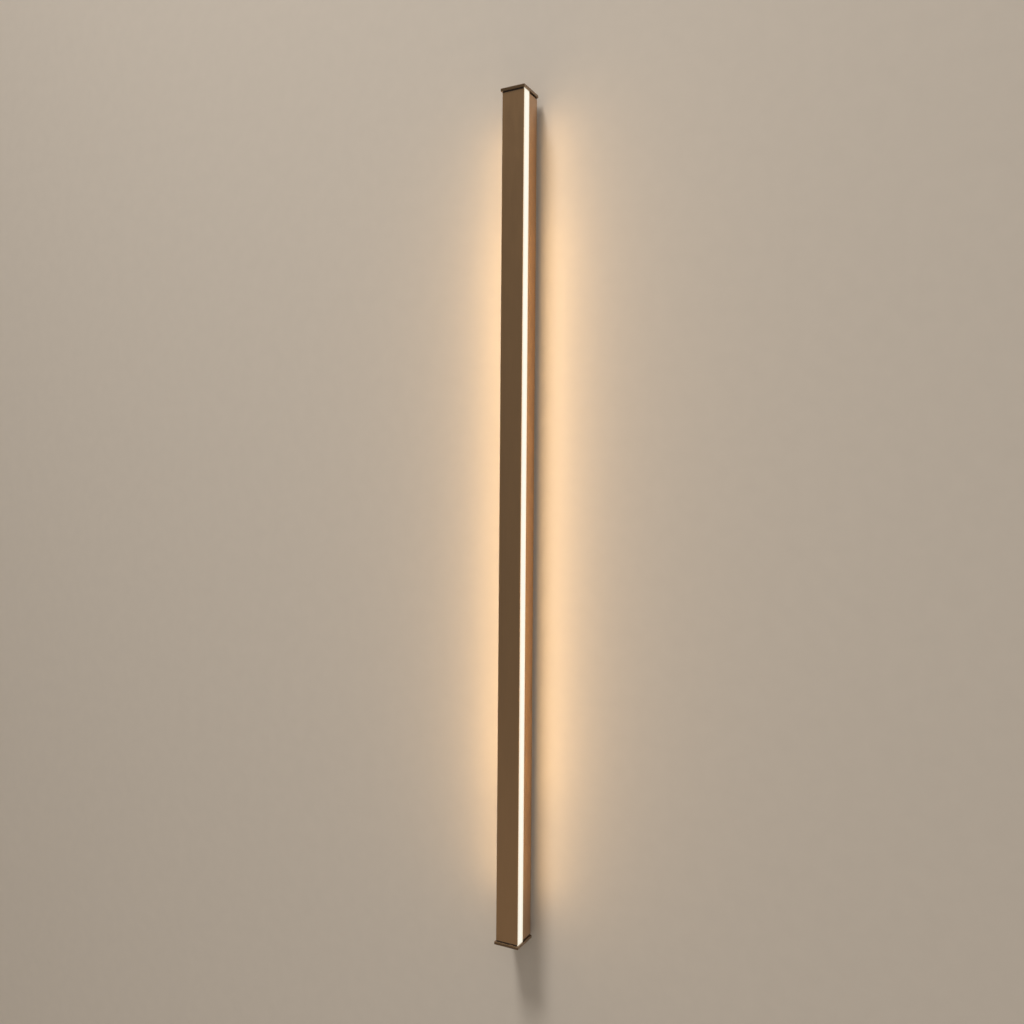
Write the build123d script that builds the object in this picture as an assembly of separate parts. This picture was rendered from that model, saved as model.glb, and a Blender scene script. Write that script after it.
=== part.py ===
from build123d import *

import os

# A slim vertical wall light: an aluminium profile with a lit opal strip in each side face.
# Millimetres. X runs across the light, Y into the wall and Z up. The origin is the middle of
# the rail's back face, which lies on the wall, so the whole light is on the -Y side of it.

# ---------------------------------------------------------------- driving dimensions
# The whole light
overall_length = 1000.0
housing_width = 28.0
housing_depth = 34.5
wall_gap = 6.0  # from the wall to the housing's back

# The profile's walls
front_skin = 1.2
side_wall = 1.6
floor_wall = 1.6  # between the light chambers and the service channel
window_height = 13.0  # the slot in each side face that the lit strip fills
web_wall = 1.4
lip_reach = 2.0
lip_thickness = 1.6
port_wall = 1.2
edge_radius = 0.4

# End plates and gaskets
cap_thickness = 3.5
cap_overhang = 1.75  # past the housing's sides
cap_front_overhang = 1.5
cap_chamfer = 0.3
gasket_thickness = 1.5
gasket_inset = 0.4

# End plate screws, thread-forming M3
cap_screw_radius = 1.45
cap_screw_length = 14.0
cap_screw_head_radius = 2.8
cap_screw_head_height = 1.6
socket_radius = 1.15
socket_depth = 1.1

# Opal strips
diffuser_skin = 1.6
diffuser_leg = 4.0
diffuser_leg_thickness = 1.0
catch_size = 0.6  # how far a catch rib stands out
catch_width = 0.8

# LED boards and their chips
board_length = 980.0
board_width = 10.0
board_thickness = 1.2
chip_pitch = 25.0 / 3.0
chip_length = 3.5
chip_width = 2.8
chip_height = 0.7

# Wall rail
rail_length = 960.0
rail_width = 20.0
rail_floor = 1.6
rail_wall = 1.5
rail_height = 7.2
ledge_overlap = 1.2  # behind the housing's lips, which seat on the ledges
ledge_thickness = 1.2

# Slots for the wall screws, and the clips
slot_width = 4.5
slot_length = 9.0
outer_slot_spacing = 900.0
inner_slot_spacing = 300.0
clip_heights = (-380.0, -110.0, 110.0, 380.0)
clip_length = 14.0
clip_thickness = 0.5
clip_hook = 1.15  # behind the housing's lips, which the clip's shoulders hold
clip_rise = 1.0
clip_nose = 3.5  # from the shoulder to the clip's tip
rivet_radius = 1.5
rivet_head_radius = 2.6
rivet_head_height = 1.0
rivet_foot_radius = 2.2
rivet_offset = 4.0  # from the clip's middle, along the rail

# Block that hangs the housing on the rail's top end
block_width = 15.0
block_height = 12.0
block_foot = 1.0  # from the wall to the block's foot
block_chamfer = 1.0
block_screw_length = 8.0
screw_reach = 3.0  # how far a screw stands into the web past the floor

# Driver
driver_centre = -268.0
driver_length = 180.0
driver_clearance = 0.5  # to each wall of the rail
driver_depth = 13.0
driver_wall = 1.2
driver_edge_radius = 1.2
driver_ear = 8.0
driver_ear_thickness = 2.0
driver_ear_radius = 2.0
driver_slot = 6.0  # width of the opening for the wires in each end
driver_slot_height = 2.6
vent_count = 8
vent_pitch = 15.0
vent_height = 2.0
driver_board_thickness = 1.6
driver_board_lift = 1.2
board_bar = 3.0
core_length = 20.0
core_wall = 2.0
coil_length = 14.0
capacitor_radius = 3.3
capacitor_length = 16.0
capacitor_edge_radius = 0.5
capacitor_ends = (22.0, 46.0)  # from each end of the case to the capacitors' middles

# Mains terminals
terminal_centre = 20.0
terminal_length = 18.0
terminal_depth = 12.0
terminal_clearance = 0.7  # to each wall of the rail
terminal_wall = 0.6  # from a sleeve to the edge of its pole
terminal_end_wall = 1.0
pole_count = 3
terminal_ear = 6.0
terminal_ear_width = 6.0
terminal_ear_thickness = 2.0
terminal_hole_radius = 1.5
terminal_hole_height = 5.0
sleeve_bore_radius = 1.3
terminal_screw_radius = 1.2
terminal_screw_offset = 5.0
terminal_screw_sink = 3.0  # from the block's front to the screw's top
screwdriver_slot = 0.5
screwdriver_slot_depth = 0.7

# Cable entry, its bush and the cord clamp
entry_height = 95.0
bush_bore_radius = 3.5
bush_clearance = 1.5  # from its flange to each wall of the rail
bush_lip = 1.5  # how far the flange lies round the rail's hole
bush_flange = 1.5
bush_edge_radius = 0.6
clamp_height = 70.0
clamp_depth = 6.5
clamp_length = 8.0
clamp_arch_radius = 3.3
clamp_arch_wall = 1.6
clamp_edge = 0.6  # beside the screw heads
clamp_corner_radius = 1.5

# Earth points
rail_earth_height = -20.0
housing_earth_height = -60.0
tag_radius = 3.4
tag_thickness = 0.8
tag_tail = 8.0
tag_tail_width = 2.6

# Small pan-head screws
pan_radius = 1.45
pan_head_radius = 2.6
pan_head_height = 1.8
small_screw_radius = 1.2
small_head_radius = 2.0
small_head_height = 1.6

# Wires, and how deep each sits in what grips it
mains_wire_radius = 1.0
output_wire_radius = 0.8
led_wire_radius = 0.7
wire_grip = 6.0
tag_grip = 4.5  # from a tag's screw to its wire's end

# Low-voltage plug
plug_centre = -400.0
plug_length = 12.0
socket_length = 14.0
plug_width = 7.0
plug_depth = 5.0
plug_corner_radius = 0.8
plug_nose = 5.0
plug_nose_wall = 1.2
latch_width = 3.0
latch_height = 0.8
pin_offset = 1.75
pin_row_offset = 0.9
socket_bore_depth = 5.0
feed_height = -472.0  # where the LED wires pass into the light chambers
feed_offset = 5.2
grommet_bore_radius = 1.6
grommet_wall = 0.5
grommet_flange_radius = 2.6
grommet_flange = 0.8

# Clearances
screw_clearance = 0.05
fit_clearance = 0.1
slip_clearance = 0.4
seat_clearance = 0.3

# ---------------------------------------------------------------- places worked out from them
half_width = housing_width / 2
back_y = -wall_gap
front_y = back_y - housing_depth
skin_y = front_y + front_skin
floor_front_y = skin_y + window_height
floor_back_y = floor_front_y + floor_wall
window_y = (skin_y + floor_front_y) / 2
inner_half_width = half_width - side_wall
opening_half = inner_half_width - lip_reach
lip_y = back_y - lip_thickness

port_radius = cap_screw_radius + screw_clearance
web_half_width = port_radius + web_wall
port_x = inner_half_width - port_radius - port_wall / 2
port_y = floor_back_y + port_radius + port_wall / 2

housing_length = overall_length - 2 * (cap_thickness + gasket_thickness)
housing_top = housing_length / 2
cap_inner = overall_length / 2 - cap_thickness
cap_screw_places = ((0, window_y), (port_x, port_y), (-port_x, port_y))

rail_half = rail_width / 2
rail_inner = rail_half - rail_wall
rail_top = rail_length / 2
floor_y = -rail_floor  # the rail floor's inner face, which most of the electrics stand on
tip_y = -fit_clearance  # where the screws in the rail's floor end

driver_width = 2 * (rail_inner - driver_clearance)
terminal_half_width = rail_inner - terminal_clearance
pole_pitch = 2 * terminal_half_width / pole_count
sleeve_half = pole_pitch / 2 - terminal_wall
bush_flange_radius = rail_inner - bush_clearance
entry_hole_radius = bush_flange_radius - bush_lip
clamp_half_width = rail_inner - seat_clearance
clamp_screw_offset = clamp_half_width - clamp_edge - small_head_radius

board_x = web_half_width
chip_x = board_x + board_thickness
diffuser_x = half_width - diffuser_skin
leg_x = diffuser_x - diffuser_leg
catch_x = leg_x + catch_width + fit_clearance

os.makedirs("parts", exist_ok=True)


# ---------------------------------------------------------------- helpers
def save(name, *solids):
    """Write one node, made of one solid or of a group of separate ones."""
    shape = solids[0] if len(solids) == 1 else Compound(children=list(solids))
    export_step(shape, f"parts/{name}.step")


def area(x0, x1, y0, y1):
    """A rectangle in the profile's plane, between two X and two Y values."""
    return Pos((x0 + x1) / 2, (y0 + y1) / 2) * Rectangle(abs(x1 - x0), abs(y1 - y0))


def along(profile, low, high):
    """A profile drawn in X and Y, drawn out along Z from low to high."""
    return extrude(Pos(0, 0, low) * profile, amount=high - low)


def block(x0, x1, y0, y1, z0, z1):
    """A box between two corners."""
    size = (abs(x1 - x0), abs(y1 - y0), abs(z1 - z0))
    return Pos((x0 + x1) / 2, (y0 + y1) / 2, (z0 + z1) / 2) * Box(*size)


def rod(radius, x, z, y0, y1):
    """A round bar along Y."""
    turned = Rot(90, 0, 0) * Cylinder(radius, abs(y1 - y0))
    return Pos(x, (y0 + y1) / 2, z) * turned


def upright(radius, x, y, z0, z1):
    """A round bar along Z."""
    return Pos(x, y, (z0 + z1) / 2) * Cylinder(radius, abs(z1 - z0))


def mirrored(shape):
    """The same shape on the other side of the light."""
    return mirror(shape, about=Plane.YZ)


def wire(radius, *points):
    """A round wire along straight runs that tangent arcs join, each arc as large as its runs allow."""
    corners = [Vector(*p) for p in points]
    runs = [b - a for a, b in zip(corners, corners[1:])]
    radii = []
    for before, after in zip(runs, runs[1:]):
        half_turn = before.get_angle(after) / 2
        shorter = min(before.length, after.length)
        radii.append(0.45 * shorter / tan_degrees(half_turn))
    path = FilletPolyline(*corners, radius=radii) if radii else Line(*corners)
    return sweep(Plane(path @ 0, z_dir=path % 0) * Circle(radius), path=path)


def tan_degrees(angle):
    """The tangent of an angle in degrees."""
    turned = Vector(1, 0, 0).rotate(Axis.Z, angle)
    return turned.Y / turned.X


def pan_screw(x, z, seat, tip, radius=pan_radius, head=pan_head_radius, height=pan_head_height):
    """A pan-head screw along Y from its seat to its tip, with a cross recess in its head."""
    out = -1 if tip > seat else 1
    top = seat + out * height
    knob = rod(head, x, z, seat, top)
    knob = fillet(knob.edges().group_by(Axis.Y)[0 if out < 0 else -1], height / 2)
    arm, half_width, floor = head * 0.55, head * 0.12, top - out * height * 0.55
    cross = block(x - arm, x + arm, floor, top + out, z - half_width, z + half_width)
    cross += block(x - half_width, x + half_width, floor, top + out, z - arm, z + arm)
    return knob + rod(radius, x, z, seat, tip) - cross


def small_screw(x, z, seat, tip):
    """A smaller pan-head screw."""
    return pan_screw(x, z, seat, tip, small_screw_radius, small_head_radius, small_head_height)


# ---------------------------------------------------------------- housing and its ends
def housing_section():
    """The profile: front skin, hollow web, floor, sides, back lips, catch ribs and screw ports."""
    outline = area(-half_width, half_width, front_y, back_y)
    outline = fillet(outline.vertices(), edge_radius)
    channel = area(-inner_half_width, inner_half_width, floor_back_y, lip_y)
    opening = area(-opening_half, opening_half, lip_y, back_y)
    web_slot = area(-port_radius, port_radius, skin_y, floor_front_y)
    section = outline - channel - opening - web_slot
    for side in (1, -1):
        section -= area(side * web_half_width, side * housing_width, skin_y, floor_front_y)
    for side in (1, -1):
        rib_out, rib_in = side * (catch_x + catch_width), side * catch_x
        section += area(rib_in, rib_out, skin_y, skin_y + catch_size)
        section += area(rib_in, rib_out, floor_front_y - catch_size, floor_front_y)
        section += Pos(side * port_x, port_y) * Circle(port_radius + port_wall)
    for side in (1, -1):
        section -= Pos(side * port_x, port_y) * Circle(port_radius)
        mouth = Pos(port_radius + port_wall / 2, 0) * Rectangle(port_wall * 2, port_radius)
        section -= Pos(side * port_x, port_y) * (Rot(0, 0, 90 + side * 45) * mouth)
    return section


def make_housing():
    """The long profile, with its wire holes, its earth hole and the hanging block's hole."""
    body = along(housing_section(), -housing_top, housing_top)
    for side in (1, -1):
        body -= rod(
            grommet_bore_radius + grommet_wall + fit_clearance,
            side * feed_offset,
            feed_height,
            floor_front_y - 1,
            floor_back_y + 1,
        )
    for height in (housing_earth_height, block_screw_height):
        body -= rod(pan_radius + screw_clearance, 0, height, floor_front_y, floor_back_y)
    return body


def make_cap():
    """The top end plate, with a countersunk hole for each screw."""
    plate = block(
        -half_width - cap_overhang,
        half_width + cap_overhang,
        front_y - cap_front_overhang,
        back_y,
        cap_inner,
        overall_length / 2,
    )
    plate = chamfer(plate.edges(), cap_chamfer)
    for x, y in cap_screw_places:
        plate -= cap_screw_shape(x, y, screw_clearance)
    return plate


def cap_screw_shape(x, y, grown=0.0):
    """A countersunk screw in the top end plate. With grown above zero it is the screw's hole."""
    top = overall_length / 2 - fit_clearance
    shank_radius = cap_screw_radius + grown
    head_radius = cap_screw_head_radius + grown
    screw = upright(shank_radius, x, y, top - cap_screw_length, top - fit_clearance)
    screw += Pos(x, y, top - cap_screw_head_height / 2) * Cone(
        shank_radius, head_radius, cap_screw_head_height
    )
    if grown:
        return screw + upright(head_radius, x, y, top, top + 1)
    hexagon = Pos(x, y, top - socket_depth) * RegularPolygon(socket_radius, 6)
    return screw - extrude(hexagon, amount=socket_depth + fit_clearance)


def make_gasket():
    """The flat top gasket, set in a little from the profile's outline, with a notch for each strip."""
    edge = half_width - gasket_inset
    pad = block(
        -edge, edge, front_y + gasket_inset, back_y - gasket_inset, housing_top, cap_inner
    )
    for side in (1, -1):
        pad -= block(
            side * (leg_x - fit_clearance),
            side * half_width,
            skin_y,
            floor_front_y,
            housing_top - 1,
            cap_inner + 1,
        )
    for x, y in cap_screw_places:
        pad -= upright(port_radius + fit_clearance, x, y, housing_top - 1, cap_inner + 1)
    return pad


def turned_over(shape):
    """The same shape at the other end of the light."""
    return mirror(shape, about=Plane.XY)


def diffuser_section():
    """The right-hand opal strip: a flat skin flush with the side, and two legs that snap in."""
    low, high = skin_y + fit_clearance, floor_front_y - fit_clearance
    section = area(diffuser_x, half_width, low, high)
    leg_low = skin_y + catch_size + fit_clearance
    leg_high = floor_front_y - catch_size - fit_clearance
    barb_end = catch_x - fit_clearance
    barb = catch_size - fit_clearance
    section += area(leg_x, diffuser_x, leg_low, leg_low + diffuser_leg_thickness)
    section += area(leg_x, diffuser_x, leg_high - diffuser_leg_thickness, leg_high)
    section += area(leg_x, barb_end, leg_low - barb, leg_low)
    section += area(leg_x, barb_end, leg_high, leg_high + barb)
    return section


# ---------------------------------------------------------------- light source
def make_board():
    """The right-hand LED board, stuck to the web."""
    low, high = window_y - board_width / 2, window_y + board_width / 2
    return block(board_x, chip_x, low, high, -board_length / 2, board_length / 2)


def make_chips():
    """The right-hand row of LED chips, at a steady pitch along the board."""
    count = int((board_length - chip_length) / chip_pitch)
    first = -(count - 1) * chip_pitch / 2
    chip = block(
        chip_x,
        chip_x + chip_height,
        window_y - chip_width / 2,
        window_y + chip_width / 2,
        -chip_length / 2,
        chip_length / 2,
    )
    return [Pos(0, 0, first + i * chip_pitch) * chip for i in range(count)]


# ---------------------------------------------------------------- wall rail and clips
def make_rail():
    """The channel on the wall: floor, two walls, and a ledge each side that the housing seats on."""
    section = area(-rail_half, rail_half, floor_y, 0)
    for side in (1, -1):
        section += area(side * rail_inner, side * rail_half, -rail_height, 0)
        ledge_end = side * (opening_half + ledge_overlap)
        section += area(side * rail_half, ledge_end, back_y, back_y + ledge_thickness)
    rail = along(section, -rail_top, rail_top)
    for spacing in (outer_slot_spacing, inner_slot_spacing):
        for height in (-spacing / 2, spacing / 2):
            straight = (slot_length - slot_width) / 2
            rail -= block(
                -slot_width / 2,
                slot_width / 2,
                floor_y - 1,
                1,
                height - straight,
                height + straight,
            )
            for end in (-straight, straight):
                rail -= rod(slot_width / 2, 0, height + end, floor_y - 1, 1)
    rail -= rod(entry_hole_radius, 0, entry_height, floor_y - 1, 1)
    for x, z, radius in rail_screw_places():
        rail -= rod(radius + screw_clearance, x, z, floor_y - 1, 1)
    for height in clip_heights:
        for end in (-rivet_offset, rivet_offset):
            rail -= rivet(height + end, screw_clearance)
    return rail


def rail_screw_places():
    """Where the screws that hold the electrics bite into the rail's floor, with their radii."""
    places = [(0, z, pan_radius) for z in driver_ear_places]
    places += [(0, z, small_screw_radius) for z in terminal_ear_places]
    places += [(side * clamp_screw_offset, clamp_height, small_screw_radius) for side in (-1, 1)]
    places.append((0, rail_earth_height, pan_radius))
    return places


def rivet(height, grown=0.0):
    """A rivet through a clip's base and the rail's floor, its foot flush in a countersink."""
    seat = floor_y - clip_thickness
    foot_y = -fit_clearance
    shank = rod(rivet_radius + grown, 0, height, seat, foot_y if not grown else 1)
    foot_depth = rivet_foot_radius - rivet_radius
    foot = Cone(rivet_radius + grown, rivet_foot_radius + grown, foot_depth)
    foot = Pos(0, foot_y - foot_depth / 2, height) * (Rot(-90, 0, 0) * foot)
    if grown:
        return shank + foot + rod(rivet_foot_radius + grown, 0, height, foot_y, 1)
    head = rod(rivet_head_radius, 0, height, seat - rivet_head_height, seat)
    head = fillet(head.edges().group_by(Axis.Y)[0], rivet_head_height * 0.7)
    return shank + foot + head


def make_clip(height):
    """A spring clip bent from strip: its shoulders hook over the housing's back lips from inside."""
    arm_x = rail_inner - fit_clearance - clip_thickness / 2
    base_y = floor_y - clip_thickness / 2
    over_y = -rail_height - slip_clearance - clip_thickness / 2
    shoulder_x, shoulder_y = opening_half + clip_hook, over_y - clip_rise
    right = [
        (arm_x, base_y),
        (arm_x, over_y),
        (shoulder_x, shoulder_y),
        (arm_x + (shoulder_x - arm_x) / 3, shoulder_y - clip_nose),
    ]
    left = [(-x, y) for x, y in reversed(right)]
    path = FilletPolyline(*left, *right, radius=clip_thickness * 1.2)
    strip = along(trace(path, clip_thickness), -clip_length / 2, clip_length / 2)
    for end in (-rivet_offset, rivet_offset):
        strip -= rod(rivet_radius + screw_clearance, 0, end, floor_y - 3, 1)
    return Pos(0, 0, height) * strip


# ---------------------------------------------------------------- hanging block
block_bottom = rail_top
block_screw_height = block_bottom + block_height / 2


def make_hanging_block():
    """The block in the housing whose foot stands on the rail's top end."""
    half = block_width / 2
    top = block_bottom + block_height
    body = block(-half, half, floor_back_y, -block_foot, block_bottom, top)
    body = chamfer(body.edges().filter_by(Axis.Y), block_chamfer)
    body -= rod(pan_radius + screw_clearance, 0, block_screw_height, floor_back_y - 1, 1)
    body -= rod(pan_head_radius + slip_clearance, 0, block_screw_height, block_seat_y, 1)
    return body


block_tip_y = floor_front_y - screw_reach
block_seat_y = block_tip_y + block_screw_length


# ---------------------------------------------------------------- driver
driver_low = driver_centre - driver_length / 2
driver_high = driver_centre + driver_length / 2
case_low = driver_low + driver_ear
case_high = driver_high - driver_ear
driver_front_y = floor_y - driver_depth
case_y = floor_y - driver_ear_thickness
split_y = driver_front_y / 2  # where the cover meets the tray
driver_ear_places = (driver_low + driver_ear / 2, driver_high - driver_ear / 2)
driver_board_y = case_y - driver_board_lift - driver_board_thickness / 2
part_seat_y = driver_board_y - driver_board_thickness / 2
wire_y = part_seat_y - mains_wire_radius - fit_clearance
part_room_y = driver_front_y + driver_wall + seat_clearance


def make_driver_case():
    """The driver's tray: a floor with an ear at each end, low sides and end walls with wire slots."""
    half = driver_width / 2
    tray = block(-half, half, case_y, floor_y, driver_low, driver_high)
    tray = fillet(tray.edges().filter_by(Axis.Y), driver_ear_radius)
    tray += block(-half, half, split_y, case_y, case_low, case_high)
    tray -= block(
        -half + driver_wall,
        half - driver_wall,
        split_y - 1,
        case_y,
        case_low + driver_wall,
        case_high - driver_wall,
    )
    tray -= driver_wire_slot()
    for z in driver_ear_places:
        tray -= rod(pan_radius + slip_clearance, 0, z, case_y - 1, floor_y + 1)
    for i in range(vent_count):
        z = driver_centre + (i - (vent_count - 1) / 2) * vent_pitch
        vent_low, vent_high = z - vent_height / 2, z + vent_height / 2
        top_y, bottom_y = split_y + driver_wall, case_y - driver_wall
        tray -= block(-half - 1, half + 1, top_y, bottom_y, vent_low, vent_high)
    return tray


def make_driver_cover():
    """The driver's cover, which closes the tray and has rounded long edges."""
    half = driver_width / 2
    cover = block(-half, half, driver_front_y, split_y, case_low, case_high)
    long_edges = cover.edges().filter_by(Axis.Z).group_by(Axis.Y)[0]
    cover = fillet(long_edges, driver_edge_radius)
    cover -= block(
        -half + driver_wall,
        half - driver_wall,
        driver_front_y + driver_wall,
        split_y + 1,
        case_low + driver_wall,
        case_high - driver_wall,
    )
    return cover - driver_wire_slot()


def driver_wire_slot():
    """The opening for the wires, through both ends of the driver's case."""
    half, height = driver_slot / 2, driver_slot_height / 2
    return block(-half, half, wire_y - height, wire_y + height, case_low - 1, case_high + 1)


def make_driver_board():
    """The driver's circuit board, on two bars that stand on the tray's floor."""
    half = driver_width / 2 - driver_wall - seat_clearance
    low, high = case_low + driver_wall + seat_clearance, case_high - driver_wall - seat_clearance
    board = block(
        -half,
        half,
        driver_board_y - driver_board_thickness / 2,
        driver_board_y + driver_board_thickness / 2,
        low,
        high,
    )
    bar_y = driver_board_y + driver_board_thickness / 2
    for z in (low + board_bar, high - 2 * board_bar):
        board += block(-half + 1, half - 1, bar_y, case_y, z, z + board_bar)
    return board


def make_transformer():
    """The driver's transformer: a square core round a taped coil."""
    z = driver_centre
    half = driver_width / 2 - driver_wall - 2 * seat_clearance
    inner, reach = half - core_wall, coil_length / 2
    core = block(-half, half, part_room_y, part_seat_y, z - core_length / 2, z + core_length / 2)
    core -= block(-inner, inner, part_room_y - 1, part_seat_y + 1, z - reach, z + reach)
    inner, reach = inner - fit_clearance, reach - fit_clearance
    coil = block(-inner, inner, part_room_y, part_seat_y, z - reach, z + reach)
    coil = fillet(coil.edges().filter_by(Axis.Z), (part_seat_y - part_room_y) / 3)
    return core, coil


def make_capacitors():
    """Round capacitors lying along the driver's board."""
    y, reach = part_seat_y - capacitor_radius, capacitor_length / 2
    made = []
    for end in capacitor_ends:
        for z in (case_low + end, case_high - end):
            can = upright(capacitor_radius, 0, y, z - reach, z + reach)
            made.append(fillet(can.edges(), capacitor_edge_radius))
    return made


# ---------------------------------------------------------------- mains terminals and cable entry
def pole_places():
    """The X of each pole of the terminal block."""
    return [(i - (pole_count - 1) / 2) * pole_pitch for i in range(pole_count)]


terminal_front_y = floor_y - terminal_depth
terminal_hole_y = floor_y - terminal_hole_height
terminal_low = terminal_centre - terminal_length / 2
terminal_high = terminal_centre + terminal_length / 2
terminal_ear_y = floor_y - terminal_ear_thickness
terminal_ear_places = (terminal_low - terminal_ear / 2, terminal_high + terminal_ear / 2)


def make_terminal_block():
    """The moulded block, with a wire hole through each pole and a screw shaft over each end."""
    half, ear_half = terminal_half_width, terminal_ear_width / 2
    low, high = terminal_low, terminal_high
    body = block(-half, half, terminal_front_y, floor_y, low, high)
    ear_low, ear_high = low - terminal_ear, high + terminal_ear
    body += block(-ear_half, ear_half, terminal_ear_y, floor_y, ear_low, ear_high)
    for x in pole_places():
        body -= block(
            x - sleeve_half,
            x + sleeve_half,
            terminal_hole_y - sleeve_half,
            terminal_hole_y + sleeve_half,
            low + terminal_end_wall,
            high - terminal_end_wall,
        )
        body -= upright(terminal_hole_radius, x, terminal_hole_y, low - 1, high + 1)
        for end in (-terminal_screw_offset, terminal_screw_offset):
            body -= rod(
                terminal_screw_radius + slip_clearance / 2,
                x,
                terminal_centre + end,
                terminal_front_y - 1,
                terminal_hole_y,
            )
    for z in terminal_ear_places:
        body -= rod(small_screw_radius + screw_clearance, 0, z, terminal_front_y, floor_y + 1)
    return body


def make_terminal_sleeves():
    """The brass sleeve inside each pole, bored for the wires and tapped for the screws."""
    made = []
    low = terminal_low + terminal_end_wall + fit_clearance
    high = terminal_high - terminal_end_wall - fit_clearance
    size = sleeve_half - fit_clearance
    for x in pole_places():
        sleeve = block(x - size, x + size, terminal_hole_y - size, terminal_hole_y + size, low, high)
        sleeve -= upright(sleeve_bore_radius, x, terminal_hole_y, low - 1, high + 1)
        for end in (-terminal_screw_offset, terminal_screw_offset):
            sleeve -= rod(
                terminal_screw_radius + screw_clearance,
                x,
                terminal_centre + end,
                terminal_front_y,
                terminal_hole_y,
            )
        made.append(sleeve)
    return made


def make_terminal_screws():
    """Two slotted clamping screws in each pole."""
    made = []
    top = terminal_front_y + terminal_screw_sink
    floor = top + screwdriver_slot_depth
    tip = terminal_hole_y - mains_wire_radius - fit_clearance
    for x in pole_places():
        for end in (-terminal_screw_offset, terminal_screw_offset):
            z = terminal_centre + end
            screw = rod(terminal_screw_radius, x, z, top, tip)
            slot_low, slot_high = z - screwdriver_slot / 2, z + screwdriver_slot / 2
            screw -= block(x - 2, x + 2, top, floor, slot_low, slot_high)
            made.append(screw)
    return made


def make_cable_bush():
    """The soft bush that lines the cable entry, with its flange inside the rail."""
    bush = rod(entry_hole_radius - fit_clearance, 0, entry_height, floor_y, -fit_clearance)
    flange = rod(bush_flange_radius, 0, entry_height, floor_y - bush_flange, floor_y)
    flange = fillet(flange.edges().group_by(Axis.Y)[0], bush_edge_radius)
    return bush + flange - rod(bush_bore_radius, 0, entry_height, floor_y - 3, 1)


clamp_top_y = floor_y - clamp_depth
clamp_seat_y = clamp_top_y + small_head_height


def make_cable_clamp():
    """The saddle that grips the supply cable inside the rail."""
    half = clamp_half_width
    low, high = clamp_height - clamp_length / 2, clamp_height + clamp_length / 2
    body = block(-half, half, clamp_top_y, floor_y, low, high)
    body = fillet(body.edges().filter_by(Axis.Z).group_by(Axis.Y)[0], clamp_corner_radius)
    arch_y = clamp_top_y + clamp_arch_wall + clamp_arch_radius
    body -= upright(clamp_arch_radius, 0, arch_y, low - 1, high + 1)
    body -= block(-clamp_arch_radius, clamp_arch_radius, arch_y, floor_y + 1, low - 1, high + 1)
    for side in (-1, 1):
        body -= rod(
            small_screw_radius + fit_clearance,
            side * clamp_screw_offset,
            clamp_height,
            clamp_top_y - 1,
            floor_y + 1,
        )
        body -= rod(
            small_head_radius + fit_clearance,
            side * clamp_screw_offset,
            clamp_height,
            clamp_top_y - 1,
            clamp_seat_y,
        )
    return body


# ---------------------------------------------------------------- earth points
def ring_tag(z, near_y, far_y, way):
    """A flat ring terminal between two Y values, its tail towards its wire, up (1) or down (-1)."""
    ring = rod(tag_radius, 0, z, near_y, far_y)
    tail = block(-tag_tail_width / 2, tag_tail_width / 2, near_y, far_y, z, z + way * tag_tail)
    return ring + tail - rod(pan_radius + fit_clearance, 0, z, near_y - 1, near_y + 1)


first_tag_y = floor_y - tag_thickness
second_tag_y = first_tag_y - tag_thickness
housing_tag_y = floor_back_y + tag_thickness


# ---------------------------------------------------------------- low-voltage plug
plug_y = floor_y - plug_depth / 2
plug_low = plug_centre - plug_length / 2
socket_low = plug_low - socket_length
socket_wire_places = (plug_y - pin_row_offset, plug_y + pin_row_offset)  # front wires, rear wires


def plug_body(low, high):
    """The outer shape of half the plug, lying on the rail's floor."""
    half, depth = plug_width / 2, plug_depth / 2
    body = block(-half, half, plug_y - depth, plug_y + depth, low, high)
    return fillet(body.edges().filter_by(Axis.Z), plug_corner_radius)


def plug_tongue(grown):
    """The plug's nose, or with grown above zero the hollow that it goes into."""
    half = plug_width / 2 - plug_nose_wall + grown
    depth = plug_depth / 2 - plug_nose_wall + grown
    tip = plug_low - plug_nose - grown
    return block(-half, half, plug_y - depth, plug_y + depth, tip, plug_low)


def make_plug():
    """The half on the driver's wires, with its nose and a latch on its front."""
    body = plug_body(plug_low, plug_low + plug_length) + plug_tongue(0.0)
    for x in (-pin_offset, pin_offset):
        hole = output_wire_radius + screw_clearance
        body -= upright(hole, x, plug_y, plug_centre, plug_low + plug_length + 1)
    half, front = latch_width / 2, plug_y - plug_depth / 2
    low, high = plug_low + latch_height, plug_centre + latch_width
    return body + block(-half, half, front - latch_height, front, low, high)


def make_socket():
    """The half on the LED wires, hollow for the plug's nose and bored for two wires at each pin."""
    body = plug_body(socket_low, plug_low) - plug_tongue(fit_clearance)
    for x in (-pin_offset, pin_offset):
        for y in socket_wire_places:
            hole = led_wire_radius + screw_clearance
            body -= upright(hole, x, y, socket_low - 1, socket_low + socket_bore_depth)
    return body


def make_grommets():
    """The two soft grommets that line the LED wires' holes, flanged on the channel's side."""
    made = []
    outer = grommet_bore_radius + grommet_wall
    for side in (1, -1):
        x = side * feed_offset
        body = rod(outer, x, feed_height, floor_front_y, floor_back_y)
        flange_y = floor_back_y + grommet_flange
        body += rod(grommet_flange_radius, x, feed_height, floor_back_y, flange_y)
        body -= rod(grommet_bore_radius, x, feed_height, floor_front_y - 1, flange_y + 1)
        made.append(body)
    return made


# ---------------------------------------------------------------- wires
def mains_wire(x, driver_x):
    """A wire from a pole of the terminal block down the rail and into the driver."""
    start = terminal_low + wire_grip
    entry = case_high - driver_wall - wire_grip
    return wire(
        mains_wire_radius,
        (x, terminal_hole_y, start),
        (x, terminal_hole_y, driver_high + 34),
        (driver_x, wire_y, driver_high + 8),
        (driver_x, wire_y, entry),
    )


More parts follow.
